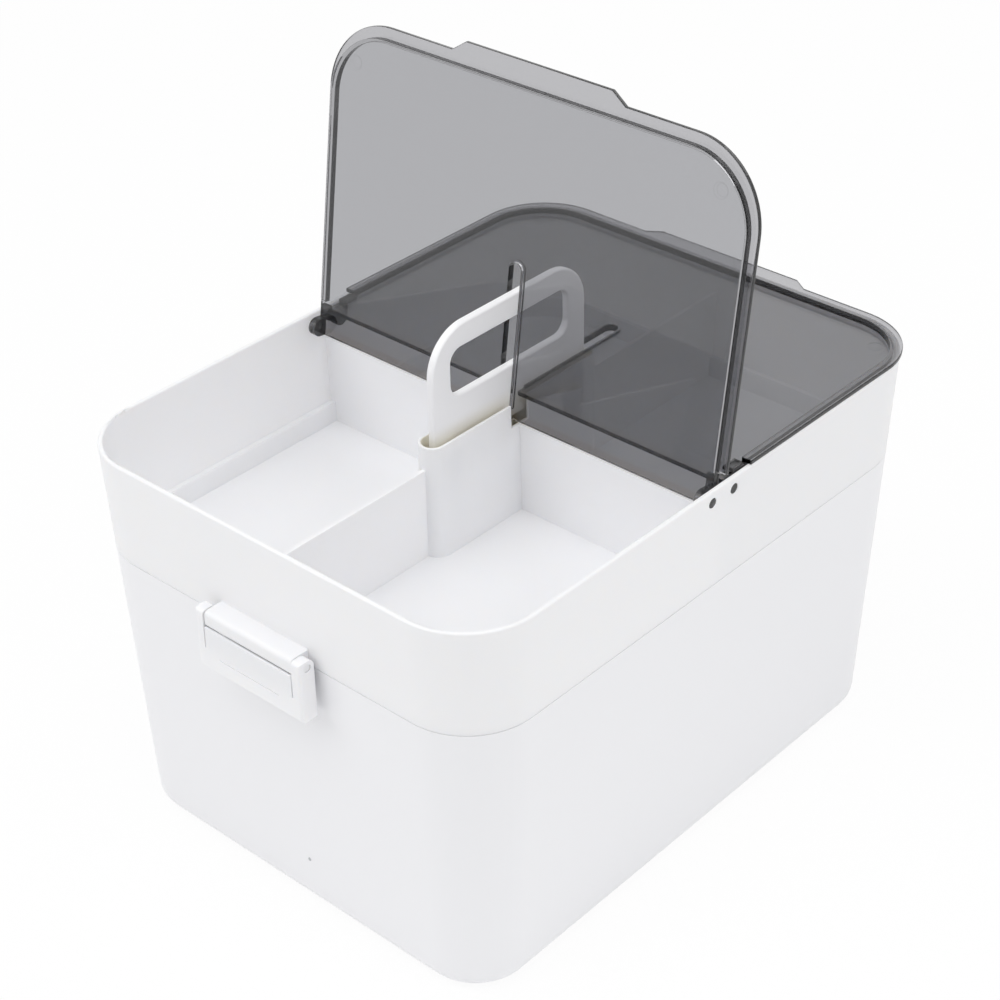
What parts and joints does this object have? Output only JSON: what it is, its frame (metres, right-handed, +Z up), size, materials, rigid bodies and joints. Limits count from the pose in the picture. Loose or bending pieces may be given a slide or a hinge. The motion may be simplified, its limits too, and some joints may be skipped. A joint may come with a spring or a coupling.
{
  "type": "medicine box",
  "caption": "Two-tier moulded medicine box with two clear dished lids hinged at the middle, a pull-up carry handle and a catch lever on each end wall.",
  "frame": {"origin": "centre of the underside of the lower bin", "axes": "+Z up, +Y towards the rear lid, +X to the right seen from the open front lid"},
  "size_m": [0.22, 0.303, 0.3175],
  "materials": {
    "white_shell": "satin moulded polypropylene",
    "smoke_clear": "smoky clear polystyrene",
    "white_handle": "satin moulded polypropylene",
    "white_latch": "satin moulded polypropylene"
  },
  "bodies": {
    "box": {"lower_bin": "white_shell", "upper_tray": "white_shell"},
    "front_cover": {"front_lid": "smoke_clear"},
    "rear_cover": {"rear_lid": "smoke_clear"},
    "handle": {"carry_handle": "white_handle"},
    "front_lever": {"front_latch": "white_latch"},
    "rear_lever": {"rear_latch": "white_latch"}
  },
  "joints": [
    {"name": "front_lid_hinge", "type": "hinge", "parent": "box", "child": "front_cover", "pos_m": [0, -0.0068, 0.177], "axis": [1, 0, 0], "range_deg": [0, 98]},
    {"name": "rear_lid_hinge", "type": "hinge", "parent": "box", "child": "rear_cover", "pos_m": [0, 0.0068, 0.177], "axis": [1, 0, 0], "range_deg": [0, 68]},
    {"name": "handle_slide", "type": "slide", "parent": "box", "child": "handle", "axis": [0, 0, 1], "range_m": [-0.042, 0]},
    {"name": "front_latch_hinge", "type": "hinge", "parent": "box", "child": "front_lever", "pos_m": [0, -0.14714, 0.1394], "axis": [-1, 0, 0], "range_deg": [0, 100]},
    {"name": "rear_latch_hinge", "type": "hinge", "parent": "box", "child": "rear_lever", "pos_m": [0, 0.14714, 0.1394], "axis": [1, 0, 0], "range_deg": [0, 100]}
  ]
}
